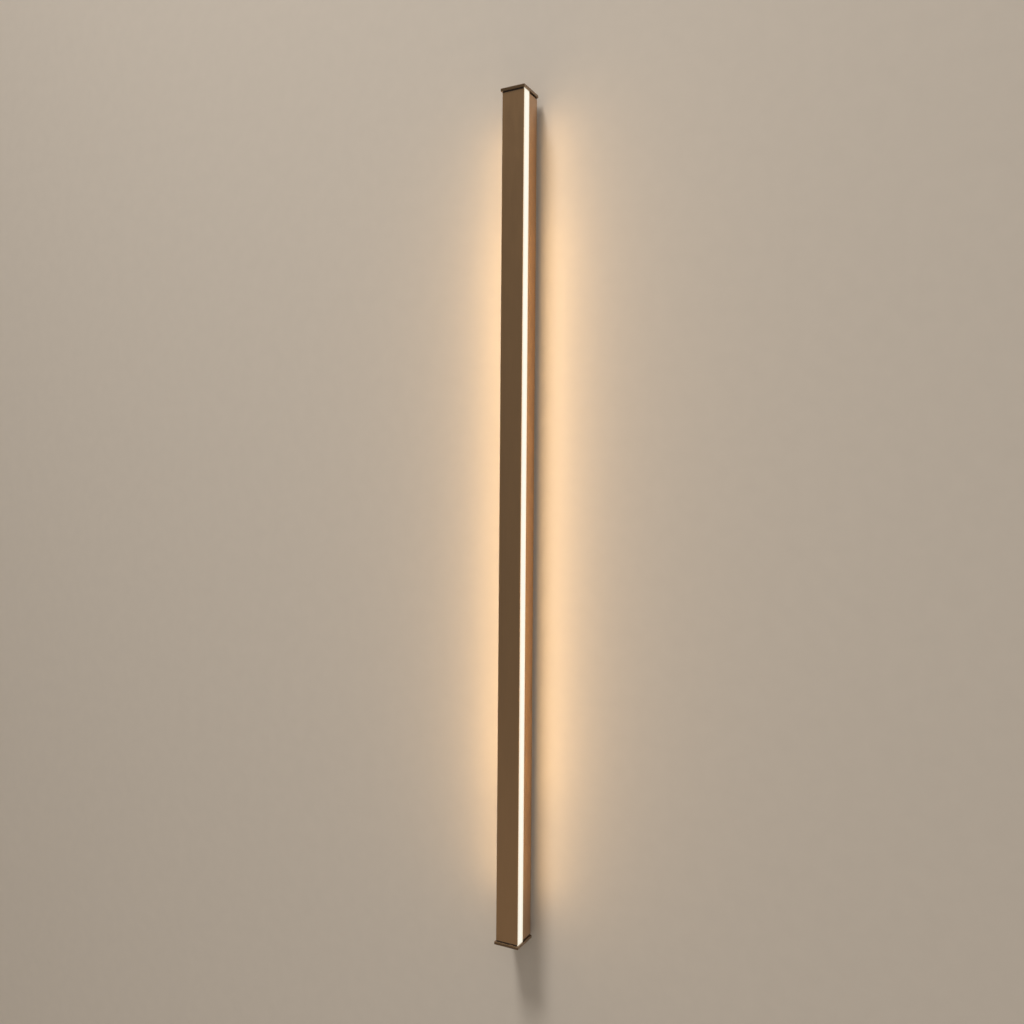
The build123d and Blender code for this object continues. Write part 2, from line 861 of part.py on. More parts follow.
def output_wire(x, plug_x):
    """A wire from the driver to the plug."""
    y = part_seat_y - output_wire_radius - fit_clearance
    return wire(
        output_wire_radius,
        (x, y, case_low + driver_wall + wire_grip),
        (x, y, driver_low - 3),
        (plug_x, plug_y - 0.6, driver_low - 18),
        (plug_x, plug_y, driver_low - 30),
        (plug_x, plug_y, plug_centre + 1),
    )


def earth_wires():
    """The earth wire from the terminal block to the rail, and the one from there to the housing."""
    pole_x = pole_places()[-1]
    tail_y = first_tag_y - mains_wire_radius
    to_rail = wire(
        mains_wire_radius,
        (pole_x, terminal_hole_y, terminal_low + wire_grip),
        (pole_x, terminal_hole_y, rail_earth_height + 24),
        (pole_x - 2, terminal_hole_y + 1.6, rail_earth_height + 17),
        (0, tail_y, rail_earth_height + 9),
        (0, tail_y, rail_earth_height + tag_grip),
    )
    low_y, high_y = second_tag_y - mains_wire_radius, housing_tag_y + mains_wire_radius
    to_housing = wire(
        mains_wire_radius,
        (0, low_y, rail_earth_height - tag_grip),
        (0, low_y, rail_earth_height - 9),
        (5.2, low_y, rail_earth_height - 15),
        (5.2, low_y - 10, rail_earth_height - 19),
        (0, high_y, housing_earth_height + 16),
        (0, high_y, housing_earth_height + tag_grip),
    )
    return to_rail, to_housing


def led_wire(pin, pin_row, side, near):
    """A wire from the plug to one LED board. The near one turns into its hole above the other."""
    x, y = pin * pin_offset, socket_wire_places[pin_row]
    feed_x = side * feed_offset
    turn_z = feed_height + (0.8 if near else -0.8)
    run_y = -12.0 if near else -10.3
    pad_y = floor_front_y - (4.1 if near else 2.6)
    pad_x = side * (chip_x + led_wire_radius)
    across = abs(feed_x - x)
    start = socket_low - (4 if near else 7)
    cross_y = y if pin_row else y - 3
    return wire(
        led_wire_radius,
        (x, y, socket_low + socket_bore_depth - 1),
        (x, y, start),
        (feed_x, cross_y, start - 6 - across),
        (feed_x, run_y, start - 22 - across / 2),
        (feed_x, run_y, turn_z),
        (feed_x, pad_y, turn_z),
        (feed_x, pad_y, feed_height - 6),
        (pad_x, pad_y, feed_height - 10),
        (pad_x, pad_y, feed_height - 14),
    )


# ---------------------------------------------------------------- write every node
housing = make_housing()
save("housing", housing)
diffuser = along(diffuser_section(), -cap_inner, cap_inner)
save("diffuser_right", diffuser)
save("diffuser_left", mirrored(diffuser))

cap = make_cap()
save("end_cap_top", cap)
save("end_cap_bottom", turned_over(cap))
gasket = make_gasket()
save("gasket_top", gasket)
save("gasket_bottom", turned_over(gasket))
top_screws = [cap_screw_shape(x, y) for x, y in cap_screw_places]
save("end_cap_screws", *top_screws, *[turned_over(s) for s in top_screws])

board = make_board()
save("led_board_right", board)
save("led_board_left", mirrored(board))
chips = make_chips()
save("led_chips_right", *chips)
save("led_chips_left", *[mirrored(c) for c in chips])

save("wall_rail", make_rail())
save("spring_clips", *[make_clip(height) for height in clip_heights])
rivet_ends = (-rivet_offset, rivet_offset)
save("clip_rivets", *[rivet(height + end) for height in clip_heights for end in rivet_ends])
save("hanging_block", make_hanging_block())
save("hanging_block_screw", pan_screw(0, block_screw_height, block_seat_y, block_tip_y))

save("driver_case", make_driver_case())
save("driver_cover", make_driver_cover())
save("driver_board", make_driver_board())
core, coil = make_transformer()
save("driver_core", core)
save("driver_coil", coil)
save("driver_capacitors", *make_capacitors())
save("driver_screws", *[pan_screw(0, z, case_y, tip_y) for z in driver_ear_places])

save("terminal_block", make_terminal_block())
save("terminal_sleeves", *make_terminal_sleeves())
save("terminal_screws", *make_terminal_screws())
block_screws = [small_screw(0, z, terminal_ear_y, tip_y) for z in terminal_ear_places]
save("terminal_block_screws", *block_screws)

save("cable_bush", make_cable_bush())
save("cable_clamp", make_cable_clamp())
clamp_ends = (-clamp_screw_offset, clamp_screw_offset)
save("cable_clamp_screws", *[small_screw(x, clamp_height, clamp_seat_y, tip_y) for x in clamp_ends])

rail_tag = ring_tag(rail_earth_height, first_tag_y, floor_y, 1)
stacked_tag = ring_tag(rail_earth_height, second_tag_y, first_tag_y, -1)
save("earth_tags", rail_tag, stacked_tag)
save("housing_earth_tag", ring_tag(housing_earth_height, housing_tag_y, floor_back_y, 1))
save("earth_screw", pan_screw(0, rail_earth_height, second_tag_y, tip_y))
save("housing_earth_screw", pan_screw(0, housing_earth_height, housing_tag_y, block_tip_y))

save("connector_plug", make_plug())
save("connector_socket", make_socket())
save("wire_grommets", *make_grommets())

live_x, neutral_x, _ = pole_places()
save("live_wire", mains_wire(live_x, -1.5))
save("neutral_wire", mains_wire(neutral_x, 1.5))
rail_earth_wire, housing_earth_wire = earth_wires()
save("earth_wire", rail_earth_wire)
save("housing_earth_wire", housing_earth_wire)
save("output_wire_red", output_wire(1.3, pin_offset))
save("output_wire_black", output_wire(-1.3, -pin_offset))
save("led_wires_red", led_wire(1, 0, 1, True), led_wire(1, 1, -1, False))
save("led_wires_black", led_wire(-1, 0, 1, False), led_wire(-1, 1, -1, True))
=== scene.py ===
"""Slim wall light: satin bronze profile with a lit opal strip in each side, on its wall."""

import math

import bpy
from mathutils import Matrix, Vector

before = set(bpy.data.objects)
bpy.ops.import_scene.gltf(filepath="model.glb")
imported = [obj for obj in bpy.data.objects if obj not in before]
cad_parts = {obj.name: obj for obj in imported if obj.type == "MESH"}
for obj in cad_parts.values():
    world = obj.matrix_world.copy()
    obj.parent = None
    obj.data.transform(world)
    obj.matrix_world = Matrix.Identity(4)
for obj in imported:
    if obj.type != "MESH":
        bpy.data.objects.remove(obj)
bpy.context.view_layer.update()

# The photograph's camera: distances in metres, and turns round the middle of the profile.
PROFILE_MIDDLE = Vector((0.0, -0.024, 0.0))
CAMERA_DISTANCE = 1.0925
CAMERA_AZIMUTH = math.radians(27.47)
CAMERA_ELEVATION = math.radians(0.82)
LOOK_YAW = math.radians(27.74)
LOOK_PITCH = math.radians(-0.45)
LOOK_ROLL = math.radians(0.445)
SENSOR_WIDTH = 36.0
LENS = 32.61

# The lit strips in the part's frame, in metres, and how far out the side faces are.
STRIP_MIDDLE_Y = -0.0328
STRIP_HALF_WIDTH = 0.0064
STRIP_END = 0.4965
STRIP_END_FADE = 0.006
SIDE_X = 0.014

# The strips' light on the wall: two lamps a side, so that it fades towards the ends. Each has
# a name, its lowest and highest point, its share of the glow and how far it stands out.
WARM_WHITE = (1.0, 0.64, 0.28)
GLOW = 9.9
GLOW_LOW = -0.452
GLOW_HIGH = 0.472
GLOW_FADE = 0.12
GLOW_RUNS = (
    ("long", GLOW_LOW, GLOW_HIGH, 0.65, 0.0001),
    ("short", GLOW_LOW + GLOW_FADE, GLOW_HIGH - GLOW_FADE, 0.35, 0.0003),
)

# The studio: its wall just behind the rail, its floor, and a sky that is dim towards the
# front left. A direction's match with DIM_DIRECTION, from edge to core, makes it dim.
WALL_Y = 0.0004
FLOOR_Z = -2.6
WALL_TOP = 4.0
REACH = 7.0
SKY_COLOUR = (1.0, 0.975, 0.94, 1)
SKY_LEVEL = 0.45
DIM_LEVEL = 0.205
DIM_DIRECTION = (-0.50, -0.866, 0.0)
DIM_EDGE = 0.35
DIM_CORE = 0.82

# Sockets that share a name with others, by their place on a Mix node and on a Mix Shader node.
FIRST_COLOUR = 6
SECOND_COLOUR = 7
MIXED_COLOUR = 2
FIRST_SHADER = 1
SECOND_SHADER = 2

# A wave texture of scale 1 has its bands this far apart.
UNSCALED_PITCH = 2 * math.pi / 20

# How alike a rounded and a plain surface's directions are on a flat and on an edge.
FLAT_MATCH = 0.995
EDGE_MATCH = 0.86
BEVEL_SAMPLES = 6

# How far the features of a finish are drawn out along x, y and z.
ALONG = (1, 1, 60)
ACROSS = (60, 1, 1)
EVEN = (1, 1, 1)

# Sizes in metres that some finishes follow.
DIODE_PITCH = 0.0083
STRIPE_FOLD = 0.00055
STRIPE_EDGE = (0.00026, 0.0003)
CAPACITOR_STRIPE_X = (0.0018, 0.0020)
CAPACITOR_TOP_Y = (-0.0129, -0.0127)

# Pale plastic lets a little light in.
CLOUDY = {"Subsurface_Weight": 0.1, "Subsurface_Scale": 0.001}


def rgb(red, green, blue):
    """A display colour, 0 to 255, as linear light."""
    parts = []
    for value in (red, green, blue):
        share = value / 255
        parts.append(share / 12.92 if share <= 0.04045 else ((share + 0.055) / 1.055) ** 2.4)
    return (*parts, 1.0)


def shade(colour, factor):
    """A linear colour made lighter or darker."""
    return (*(min(1.0, part * factor) for part in colour[:3]), 1.0)


class Finish:
    """A procedural material in the object's own coordinates: metres in the part's frame."""

    def __init__(self, name):
        self.material = bpy.data.materials.new(name)
        self.material.use_nodes = True
        self.tree = self.material.node_tree
        self.tree.nodes.clear()
        self.shader = self.add("ShaderNodeBsdfPrincipled")
        self.output = self.add("ShaderNodeOutputMaterial")
        self.join(self.shader.outputs["BSDF"], self.output.inputs["Surface"])
        self.place = self.add("ShaderNodeTexCoord").outputs["Object"]

    def add(self, kind, **settings):
        """A node of that kind, with its settings."""
        node = self.tree.nodes.new(kind)
        for name, value in settings.items():
            setattr(node, name, value)
        return node

    def join(self, source, target):
        """A link from one socket to another."""
        self.tree.links.new(source, target)

    def stretched(self, stretch):
        """The coordinates with features made longer along each axis by a factor."""
        mapping = self.add("ShaderNodeMapping")
        mapping.inputs["Scale"].default_value = [1 / part for part in stretch]
        self.join(self.place, mapping.inputs["Vector"])
        return mapping.outputs["Vector"]

    def noise(self, size, stretch=EVEN, detail=2.0, roughness=0.5):
        """Soft noise with features of that size in metres."""
        node = self.add("ShaderNodeTexNoise")
        node.inputs["Scale"].default_value = 1 / size
        node.inputs["Detail"].default_value = detail
        node.inputs["Roughness"].default_value = roughness
        self.join(self.stretched(stretch), node.inputs["Vector"])
        return node.outputs["Fac"]

    def cells(self, size):
        """Distance inside cells of that size in metres."""
        node = self.add("ShaderNodeTexVoronoi", feature="F1")
        node.inputs["Scale"].default_value = 1 / size
        self.join(self.stretched(EVEN), node.inputs["Vector"])
        return node.outputs["Distance"]

    def bands(self, pitch, distortion=0.0):
        """Bands across z, one each pitch in metres."""
        node = self.add("ShaderNodeTexWave", bands_direction="Z")
        node.inputs["Scale"].default_value = UNSCALED_PITCH / pitch
        node.inputs["Distortion"].default_value = distortion
        self.join(self.place, node.inputs["Vector"])
        return node.outputs["Fac"]

    def axis(self, name):
        """The place along one axis, X, Y or Z."""
        node = self.add("ShaderNodeSeparateXYZ")
        self.join(self.place, node.inputs["Vector"])
        return node.outputs[name]

    def maths(self, operation, first, second=None):
        """One operation on numbers or sockets."""
        node = self.add("ShaderNodeMath", operation=operation)
        for socket, value in zip(node.inputs, (first, second)):
            if isinstance(value, (int, float)):
                socket.default_value = value
            elif value is not None:
                self.join(value, socket)
        return node.outputs["Value"]

    def remap(self, source, low, high, start=0.3, end=0.7):
        """A value from start to end made to run from low to high."""
        node = self.add("ShaderNodeMapRange")
        node.inputs["From Min"].default_value = start
        node.inputs["From Max"].default_value = end
        node.inputs["To Min"].default_value = low
        node.inputs["To Max"].default_value = high
        self.join(source, node.inputs["Value"])
        return node.outputs["Result"]

    def ramp(self, source, *stops):
        """Colours along a value, as (place, colour) pairs."""
        node = self.add("ShaderNodeValToRGB")
        line = node.color_ramp
        while len(line.elements) < len(stops):
            line.elements.new(0.5)
        for element, (place, colour) in zip(line.elements, stops):
            element.position = place
            element.color = colour
        self.join(source, node.inputs["Fac"])
        return node.outputs["Color"]

    def mix(self, share, first, second):
        """Two colours mixed, each a colour or a socket."""
        node = self.add("ShaderNodeMix", data_type="RGBA", blend_type="MIX")
        if isinstance(share, float):
            node.inputs["Factor"].default_value = share
        else:
            self.join(share, node.inputs["Factor"])
        for place, value in ((FIRST_COLOUR, first), (SECOND_COLOUR, second)):
            socket = node.inputs[place]
            if isinstance(value, tuple):
                socket.default_value = value
            else:
                self.join(value, socket)
        return node.outputs[MIXED_COLOUR]

    def rounded(self, radius):
        """The surface's direction, with its edges rounded by a radius in metres."""
        node = self.add("ShaderNodeBevel", samples=BEVEL_SAMPLES)
        node.inputs["Radius"].default_value = radius
        return node.outputs["Normal"]

    def edges(self, radius):
        """1 along convex and concave edges, 0 on the flats."""
        turned = self.rounded(radius)
        flat = self.add("ShaderNodeNewGeometry")
        node = self.add("ShaderNodeVectorMath", operation="DOT_PRODUCT")
        self.join(turned, node.inputs[0])
        self.join(flat.outputs["Normal"], node.inputs[1])
        return self.remap(node.outputs["Value"], 0.0, 1.0, FLAT_MATCH, EDGE_MATCH)

    def colour(self, source):
        """The surface's colour."""
        self.join(source, self.shader.inputs["Base Color"])

    def roughness(self, source, low, high):
        """Roughness that follows a noise, from low to high."""
        self.join(self.remap(source, low, high), self.shader.inputs["Roughness"])

    def relief(self, height, depth, edge=0.0):
        """Bumps of that depth in metres, over edges rounded by a radius."""
        node = self.add("ShaderNodeBump")
        node.inputs["Strength"].default_value = 1.0
        node.inputs["Distance"].default_value = depth
        self.join(height, node.inputs["Height"])
        if edge:
            self.join(self.rounded(edge), node.inputs["Normal"])
        self.join(node.outputs["Normal"], self.shader.inputs["Normal"])

    def set(self, **values):
        """Values that are the same all over, on the shader's own sockets."""
        for name, value in values.items():
            self.shader.inputs[name.replace("_", " ")].default_value = value


def bronze(name, colour, line_stretch):
    """Satin bronze anodising: long die lines, a slow drift of tone, speckle and paler edges."""
    made = Finish(name)
    drift = made.noise(0.045, (1, 1, 6), detail=3.0)
    lines = made.noise(0.0004, line_stretch, detail=2.0)
    speck = made.noise(0.00022, detail=1.0)
    tone = made.ramp(drift, (0.32, shade(colour, 0.96)), (0.5, colour), (0.7, shade(colour, 1.04)))
    line_tone = made.ramp(lines, (0.3, shade(colour, 0.7)), (0.7, shade(colour, 1.3)))
    lined = made.mix(0.10, tone, line_tone)
    speck_tone = made.ramp(speck, (0.35, shade(colour, 0.6)), (0.65, shade(colour, 1.4)))
    specked = made.mix(0.10, lined, speck_tone)
    worn = made.maths("MULTIPLY", made.edges(0.0003), made.remap(drift, 0.15, 0.45))
    made.colour(made.mix(worn, specked, shade(colour, 1.9)))
    made.roughness(made.noise(0.006, (1, 1, 4), detail=4.0), 0.29, 0.34)
    height = made.maths("ADD", lines, made.maths("MULTIPLY", speck, 0.5))
    made.relief(height, 0.000003, edge=0.0003)
    made.set(Metallic=1.0, Coat_Weight=1.0, Coat_Roughness=0.2, Coat_IOR=1.6)
    return made.material


def opal(name):
    """Opal acrylic lit from inside: whitest along its middle, warmer to its edges and ends."""
    made = Finish(name)
    across = made.maths("ABSOLUTE", made.maths("ADD", made.axis("Y"), -STRIP_MIDDLE_Y))
    along = made.maths("ABSOLUTE", made.axis("Z"))
    diodes = made.bands(DIODE_PITCH)
    edge = made.remap(across, 0.0, 1.0, 0.0, STRIP_HALF_WIDTH)
    end = made.remap(along, 0.0, 0.8, STRIP_END - STRIP_END_FADE, STRIP_END)
    rim = made.maths("MAXIMUM", edge, end)
    reach = made.maths("ADD", rim, made.maths("MULTIPLY", diodes, 0.06))
    warm = made.ramp(
        reach,
        (0.0, (0.86, 0.85, 0.77, 1)),
        (0.75, (0.83, 0.80, 0.69, 1)),
        (1.0, (0.74, 0.66, 0.50, 1)),
    )
    made.join(warm, made.shader.inputs["Emission Color"])
    cloud = made.noise(0.0008, detail=2.0)
    made.colour(made.ramp(cloud, (0.3, rgb(134, 130, 120)), (0.7, rgb(140, 136, 126))))
    made.roughness(made.noise(0.003, (1, 1, 5), detail=3.0), 0.34, 0.42)
    made.relief(cloud, 0.000004)
    made.set(Emission_Strength=1.0)
    return made.material


def rubber(name, colour, rough):
    """Soft black rubber: grainy skin with dusty high spots."""
    made = Finish(name)
    grain = made.noise(0.00035, detail=3.0, roughness=0.6)
    dust = made.noise(0.004, detail=3.0)
    dark = made.ramp(grain, (0.3, shade(colour, 0.7)), (0.7, shade(colour, 1.35)))
    made.colour(made.mix(made.remap(dust, 0.0, 0.35), dark, shade(colour, 2.4)))
    made.roughness(dust, rough - 0.08, rough + 0.06)
    made.relief(grain, 0.00003, edge=0.0002)
    return made.material


def moulded(name, colour, rough, grain=0.00035, depth=0.00001, **values):
    """Moulded plastic: fine texture, slow flow marks and a slightly paler rim."""
    made = Finish(name)
    flow = made.noise(0.009, (1, 1, 2), detail=3.0)
    skin = made.noise(grain, detail=2.0)
    tone = made.ramp(flow, (0.3, shade(colour, 0.93)), (0.7, shade(colour, 1.05)))
    skin_tone = made.ramp(skin, (0.3, shade(colour, 0.75)), (0.7, shade(colour, 1.2)))
    fine = made.mix(0.12, tone, skin_tone)
    rim = made.maths("MULTIPLY", made.edges(0.00025), 0.35)
    made.colour(made.mix(rim, fine, shade(colour, 1.25)))
    made.roughness(flow, rough - 0.06, rough + 0.06)
    made.relief(skin, depth, edge=0.00025)
    made.set(**values)
    return made.material


def metal(name, colour, rough, grain, stretch, tint=None, edge=0.0002):
    """Bare or plated metal: fine lines or grain, cloudy tarnish and bright edges."""
    made = Finish(name)
    lines = made.noise(grain, stretch, detail=3.0, roughness=0.6)
    cloud = made.noise(0.005, (1, 1, 2), detail=4.0)
    base = made.ramp(cloud, (0.3, shade(colour, 0.84)), (0.7, shade(colour, 1.08)))
    if tint:
        patch = made.remap(made.noise(0.0022, detail=2.0), 0.0, 0.5, 0.45, 0.7)
        base = made.mix(patch, base, tint)
    line_tone = made.ramp(lines, (0.3, shade(colour, 0.6)), (0.7, shade(colour, 1.25)))
    fine = made.mix(0.18, base, line_tone)
    bright = made.maths("MULTIPLY", made.edges(edge), 0.5)
    made.colour(made.mix(bright, fine, shade(colour, 1.3)))
    made.roughness(cloud, rough - 0.07, rough + 0.09)
    made.relief(lines, 0.000008, edge=edge)
    made.set(Metallic=1.0)
    return made.material


def board(name, mask, print_colour, track, tall):
    """Solder mask over tracks: raised lines in the mask's own colour and a little print."""
    made = Finish(name)
    runs = made.add("ShaderNodeTexBrick", offset=0.37, squash=1.0)
    turned = made.add("ShaderNodeMapping")
    turned.inputs["Rotation"].default_value = (math.radians(90), 0, math.radians(90))
    made.join(made.place, turned.inputs["Vector"])
    made.join(turned.outputs["Vector"], runs.inputs["Vector"])
    runs.inputs["Scale"].default_value = 1.0
    runs.inputs["Mortar Size"].default_value = track
    runs.inputs["Brick Width"].default_value = tall
    runs.inputs["Row Height"].default_value = track * 5
    runs.inputs["Color1"].default_value = shade(mask, 0.9)
    runs.inputs["Color2"].default_value = shade(mask, 1.05)
    runs.inputs["Mortar"].default_value = shade(mask, 1.3)
    marks = made.remap(made.noise(0.0012, (1, 1, 3), detail=1.0), 0.0, 1.0, 0.66, 0.70)
    made.colour(made.mix(marks, runs.outputs["Color"], print_colour))
    made.roughness(made.noise(0.002, detail=3.0), 0.26, 0.4)
    made.relief(runs.outputs["Fac"], 0.00003)
    return made.material


def phosphor(name):
    """Lit white diodes: a yellow phosphor drop that glows inside a white frame."""
    made = Finish(name)
    cloud = made.noise(0.0004, detail=3.0)
    made.colour(made.ramp(cloud, (0.3, (0.90, 0.70, 0.18, 1)), (0.7, (0.97, 0.84, 0.36, 1))))
    glow = made.ramp(cloud, (0.3, (1.0, 0.82, 0.55, 1)), (0.7, (1.0, 0.88, 0.66, 1)))
    made.join(glow, made.shader.inputs["Emission Color"])
    made.roughness(cloud, 0.3, 0.42)
    made.relief(cloud, 0.00001)
    made.set(Emission_Strength=1.5)
    return made.material


def insulation(name, colour, second=None):
    """Extruded wire cover: slight ripple, soft gloss, and stripes of any second colour."""
    made = Finish(name)
    ripple = made.noise(0.0006, (1, 1, 5), detail=2.0)
    smudge = made.noise(0.003, detail=3.0)
    tone = made.ramp(smudge, (0.3, shade(colour, 0.82)), (0.7, shade(colour, 1.12)))
    if second:
        # The place across the wire, folded there and back, makes stripes that run along it.
        folded = made.maths("PINGPONG", made.axis("X"), STRIPE_FOLD)
        stripe = made.remap(folded, 0.0, 1.0, *STRIPE_EDGE)
        tone = made.mix(stripe, tone, second)
    made.colour(tone)
    made.roughness(smudge, 0.32, 0.44)
    made.relief(ripple, 0.00002)
    return made.material


def ferrite(name, colour):
    """Sintered core: dull grey with dark pores and bright grains."""
    made = Finish(name)
    pores = made.cells(0.0005)
    grains = made.noise(0.0002, detail=2.0)
    base = made.ramp(pores, (0.05, shade(colour, 0.4)), (0.25, colour), (0.8, shade(colour, 1.3)))
    made.colour(made.mix(made.remap(grains, 0.0, 0.5, 0.55, 0.75), base, shade(colour, 2.2)))
    made.roughness(grains, 0.6, 0.75)
    made.relief(pores, 0.00003, edge=0.0002)
    return made.material


def wound(name, colour):
    """Polyester tape over a winding: overlapping turns with the wire's ridges under them."""
    made = Finish(name)
    turns = made.bands(0.0028, distortion=0.4)
    ridges = made.bands(0.00045, distortion=0.2)
    made.colour(
        made.ramp(
            turns,
            (0.0, shade(colour, 0.7)),
            (0.12, colour),
            (0.9, shade(colour, 1.15)),
            (1.0, shade(colour, 1.4)),
        )
    )
    made.roughness(turns, 0.22, 0.34)
    made.relief(made.maths("ADD", turns, made.maths("MULTIPLY", ridges, 0.4)), 0.00006)
    return made.material


def sleeve(name, colour, stripe):
    """Shrunk sleeve of a capacitor: glossy, with a plain pale stripe and a bare aluminium top."""
    made = Finish(name)
    cloud = made.noise(0.002, detail=3.0)
    side = made.remap(made.axis("X"), 0.0, 1.0, *CAPACITOR_STRIPE_X)
    top = made.remap(made.axis("Y"), 1.0, 0.0, *CAPACITOR_TOP_Y)
    tone = made.ramp(cloud, (0.3, shade(colour, 0.8)), (0.7, shade(colour, 1.2)))
    made.colour(made.mix(top, made.mix(side, tone, stripe), rgb(196, 197, 198)))
    made.join(top, made.shader.inputs["Metallic"])
    made.roughness(cloud, 0.16, 0.28)
    made.relief(cloud, 0.00002)
    return made.material


FINISHES = {
    # bronze_body is painted much lighter than the same bronze on bronze_plate: painted light that
    # stands in for the strips' glow thrown back off the wall onto the side faces. The sky's dim
    # patch towards the front left keeps the front face dark.
    "bronze_body": bronze("bronze_body", (0.51, 0.29, 0.128, 1), ALONG),
    "bronze_plate": bronze("bronze_plate", (0.21, 0.116, 0.044, 1), ACROSS),
    "gasket_black": rubber("gasket_black", (0.07, 0.052, 0.036, 1), 0.8),
    "black_screw": metal("black_screw", (0.05, 0.045, 0.04, 1), 0.42, 0.0003, EVEN),
    "opal_strip": opal("opal_strip"),
    "board_white": board(
        "board_white", (0.82, 0.82, 0.80, 1), rgb(70, 70, 70), 0.0004, DIODE_PITCH
    ),
    "led_phosphor": phosphor("led_phosphor"),
    "mill_aluminium": metal(
        "mill_aluminium", (0.62, 0.62, 0.61, 1), 0.38, 0.0003, ALONG, edge=0.0003
    ),
    "spring_steel": metal(
        "spring_steel", (0.55, 0.55, 0.54, 1), 0.3, 0.0003, (1, 1, 20), tint=(0.35, 0.38, 0.46, 1)
    ),
    "rivet_aluminium": metal("rivet_aluminium", (0.68, 0.68, 0.67, 1), 0.35, 0.0002, EVEN),
    "block_nylon": moulded("block_nylon", (0.06, 0.06, 0.06, 1), 0.55),
    "zinc_screw": metal(
        "zinc_screw", (0.66, 0.66, 0.64, 1), 0.3, 0.0002, EVEN, tint=(0.62, 0.60, 0.48, 1)
    ),
    "driver_plastic": moulded(
        "driver_plastic", (0.78, 0.78, 0.76, 1), 0.5, grain=0.0006, depth=0.00003
    ),
    "circuit_green": board(
        "circuit_green", (0.03, 0.16, 0.06, 1), rgb(225, 225, 215), 0.0005, 0.006
    ),
    "ferrite": ferrite("ferrite", (0.06, 0.06, 0.065, 1)),
    "coil_tape": wound("coil_tape", (0.72, 0.52, 0.06, 1)),
    "capacitor_sleeve": sleeve("capacitor_sleeve", (0.03, 0.04, 0.10, 1), rgb(150, 155, 170)),
    "terminal_plastic": moulded("terminal_plastic", (0.78, 0.76, 0.70, 1), 0.4, **CLOUDY),
    "sleeve_brass": metal(
        "sleeve_brass", (0.72, 0.52, 0.22, 1), 0.3, 0.0003, (1, 1, 12), tint=(0.50, 0.32, 0.14, 1)
    ),
    "brass_screw": metal(
        "brass_screw", (0.74, 0.55, 0.24, 1), 0.28, 0.0002, EVEN, tint=(0.55, 0.36, 0.15, 1)
    ),
    "soft_black": rubber("soft_black", (0.025, 0.025, 0.025, 1), 0.68),
    "clamp_plastic": moulded("clamp_plastic", (0.07, 0.07, 0.07, 1), 0.45),
    "tinned_copper": metal(
        "tinned_copper", (0.70, 0.70, 0.69, 1), 0.3, 0.0003, (1, 1, 10), tint=(0.66, 0.50, 0.38, 1)
    ),
    "wire_green": insulation("wire_green", (0.12, 0.42, 0.08, 1), rgb(214, 190, 40)),
    "wire_brown": insulation("wire_brown", (0.18, 0.07, 0.03, 1)),
    "wire_blue": insulation("wire_blue", (0.05, 0.16, 0.50, 1)),
    "wire_red": insulation("wire_red", (0.50, 0.03, 0.03, 1)),
    "wire_black": insulation("wire_black", (0.02, 0.02, 0.02, 1)),
    "connector_white": moulded("connector_white", (0.82, 0.81, 0.77, 1), 0.38, **CLOUDY),
}

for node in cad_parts.values():
    for held in node.material_slots:
        held.material = FINISHES[held.material.name.split(".")[0]]


def plain(name, colour):
    """A matte stage surface that lets the view and its light through from behind."""
    made = Finish(name)
    flecks = made.noise(0.02, detail=2.0)
    made.colour(made.ramp(flecks, (0.3, shade(colour, 0.99)), (0.7, shade(colour, 1.01))))
    made.set(Roughness=0.9)
    made.shader.inputs["Specular IOR Level"].default_value = 0.1
    clear = made.add("ShaderNodeBsdfTransparent")
    behind = made.add("ShaderNodeNewGeometry").outputs["Backfacing"]
    depth = made.add("ShaderNodeLightPath").outputs["Transparent Depth"]
    passed = made.maths("MINIMUM", depth, 1.0)
    chosen = made.add("ShaderNodeMixShader")
    made.join(made.maths("MAXIMUM", behind, passed), chosen.inputs["Fac"])
    made.join(made.shader.outputs["BSDF"], chosen.inputs[FIRST_SHADER])
    made.join(clear.outputs["BSDF"], chosen.inputs[SECOND_SHADER])
    made.join(chosen.outputs["Shader"], made.output.inputs["Surface"])
    return made.material


def sheet(name, corners, material):
    """A flat stage surface through four corners."""
    mesh = bpy.data.meshes.new(name)
    mesh.from_pydata(corners, [], [(0, 1, 2, 3)])
    mesh.update()
    made = bpy.data.objects.new(name, mesh)
    bpy.context.scene.collection.objects.link(made)
    mesh.materials.append(material)


sheet(
    "backdrop_wall",
    [
        (-REACH, WALL_Y, FLOOR_Z),
        (REACH, WALL_Y, FLOOR_Z),
        (REACH, WALL_Y, WALL_TOP),
        (-REACH, WALL_Y, WALL_TOP),
    ],
    plain("wall_paint", rgb(226, 213, 197)),
)
sheet(
    "floor",
    [
        (-REACH, -REACH, FLOOR_Z),
        (REACH, -REACH, FLOOR_Z),
        (REACH, REACH, FLOOR_Z),
        (-REACH, REACH, FLOOR_Z),
    ],
    plain("floor_paint", rgb(224, 218, 210)),
)


def lamp(name, place, aim, size, radiance, colour=(1.0, 1.0, 1.0), spread=180.0):
    """A flat lamp of a size (wide, high) in metres that faces aim, with its spread in degrees."""
    wide, high = size
    data = bpy.data.lights.new(name, "AREA")
    data.shape = "RECTANGLE"
    data.size = wide
    data.size_y = high
    data.energy = radiance * math.pi * wide * high
    data.color = colour
    data.spread = math.radians(spread)
    made = bpy.data.objects.new(name, data)
    bpy.context.scene.collection.objects.link(made)
    made.location = place
    made.rotation_mode = "QUATERNION"
    made.rotation_quaternion = (Vector(aim) - Vector(place)).to_track_quat("-Z", "Y")
    made.visible_camera = False


for side, facing in (("right", 1), ("left", -1)):
    for run, low, high, share, proud in GLOW_RUNS:
        middle = (low + high) / 2
        x = facing * (SIDE_X + proud)
        lamp(
            f"strip_glow_{side}_{run}",
            (x, STRIP_MIDDLE_Y, middle),
            (x * 2, STRIP_MIDDLE_Y, middle),
            (2 * STRIP_HALF_WIDTH, high - low),
            GLOW * share,
            WARM_WHITE,
        )
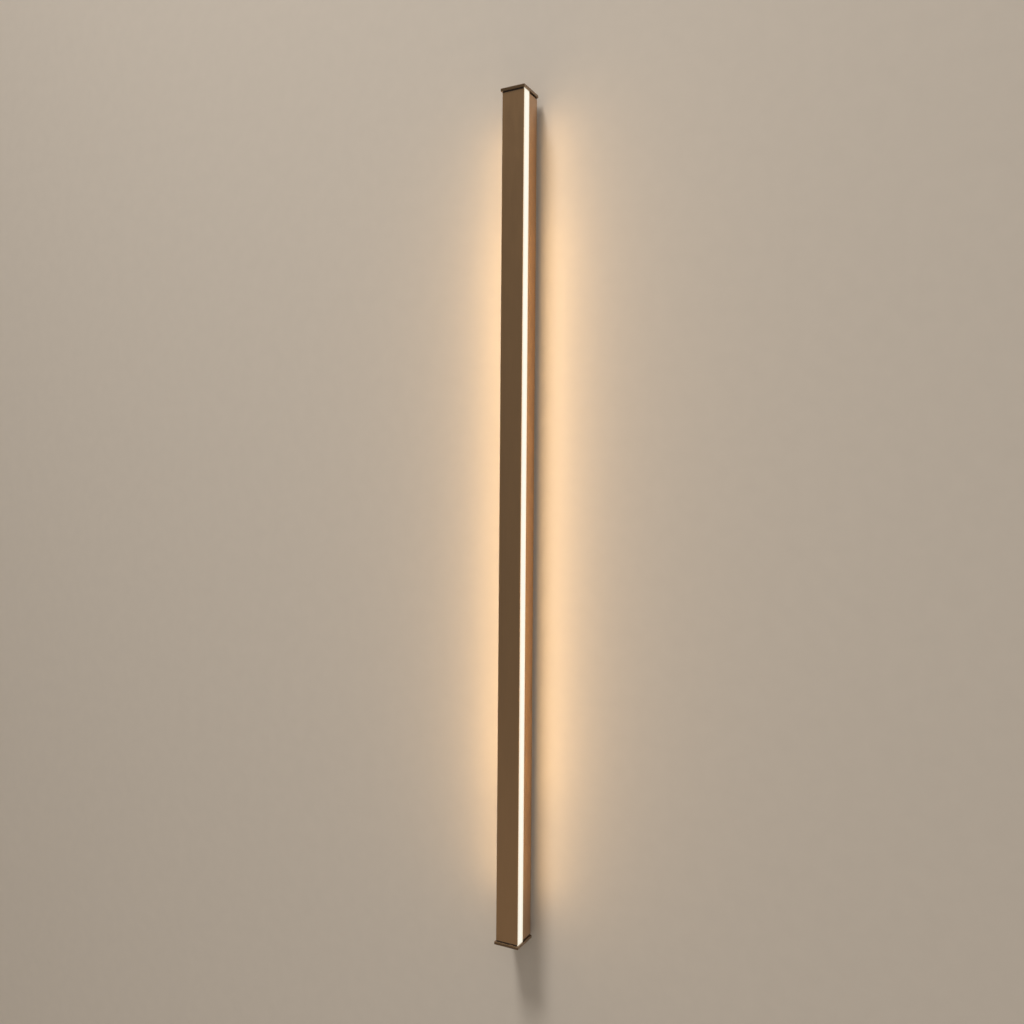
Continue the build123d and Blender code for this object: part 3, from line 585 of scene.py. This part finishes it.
# Soft light from above, and light from behind the wall for the views of the back.
lamp("key", (-0.8, -2.0, 4.5), aim=(0, 0, 0), size=(1.0, 1.6), radiance=5.0, spread=70.0)
lamp("behind", (1.4, 2.4, 0.8), aim=(0, 0, 0), size=(1.8, 2.2), radiance=3.0)

world = bpy.data.worlds.new("studio")
bpy.context.scene.world = world
world.use_nodes = True
sky = world.node_tree
background = sky.nodes["Background"]
direction = sky.nodes.new("ShaderNodeTexCoord")
towards = sky.nodes.new("ShaderNodeVectorMath")
towards.operation = "DOT_PRODUCT"
towards.inputs[1].default_value = DIM_DIRECTION
dimmer = sky.nodes.new("ShaderNodeMapRange")
dimmer.interpolation_type = "SMOOTHSTEP"
dimmer.inputs["From Min"].default_value = DIM_EDGE
dimmer.inputs["From Max"].default_value = DIM_CORE
dimmer.inputs["To Min"].default_value = SKY_LEVEL
dimmer.inputs["To Max"].default_value = DIM_LEVEL
sky.links.new(direction.outputs["Generated"], towards.inputs[0])
sky.links.new(towards.outputs["Value"], dimmer.inputs["Value"])
sky.links.new(dimmer.outputs["Result"], background.inputs["Strength"])
background.inputs["Color"].default_value = SKY_COLOUR

scene = bpy.context.scene
scene.view_settings.view_transform = "Standard"

camera_data = bpy.data.cameras.new("camera")
camera_data.sensor_width = SENSOR_WIDTH
camera_data.lens = LENS
camera_data.clip_start = 0.05
camera_data.clip_end = 60
camera = bpy.data.objects.new("camera", camera_data)
scene.collection.objects.link(camera)
back = Vector(
    (
        math.sin(CAMERA_AZIMUTH) * math.cos(CAMERA_ELEVATION),
        -math.cos(CAMERA_AZIMUTH) * math.cos(CAMERA_ELEVATION),
        math.sin(CAMERA_ELEVATION),
    )
)
look = Vector(
    (
        -math.sin(LOOK_YAW) * math.cos(LOOK_PITCH),
        math.cos(LOOK_YAW) * math.cos(LOOK_PITCH),
        math.sin(LOOK_PITCH),
    )
)
level = Vector((math.cos(LOOK_YAW), math.sin(LOOK_YAW), 0))
upright = level.cross(look)
right = level * math.cos(LOOK_ROLL) + upright * math.sin(LOOK_ROLL)
up = upright * math.cos(LOOK_ROLL) - level * math.sin(LOOK_ROLL)
turn = Matrix((right, up, -look)).transposed().to_4x4()
camera.matrix_world = Matrix.Translation(PROFILE_MIDDLE + back * CAMERA_DISTANCE) @ turn
scene.camera = camera
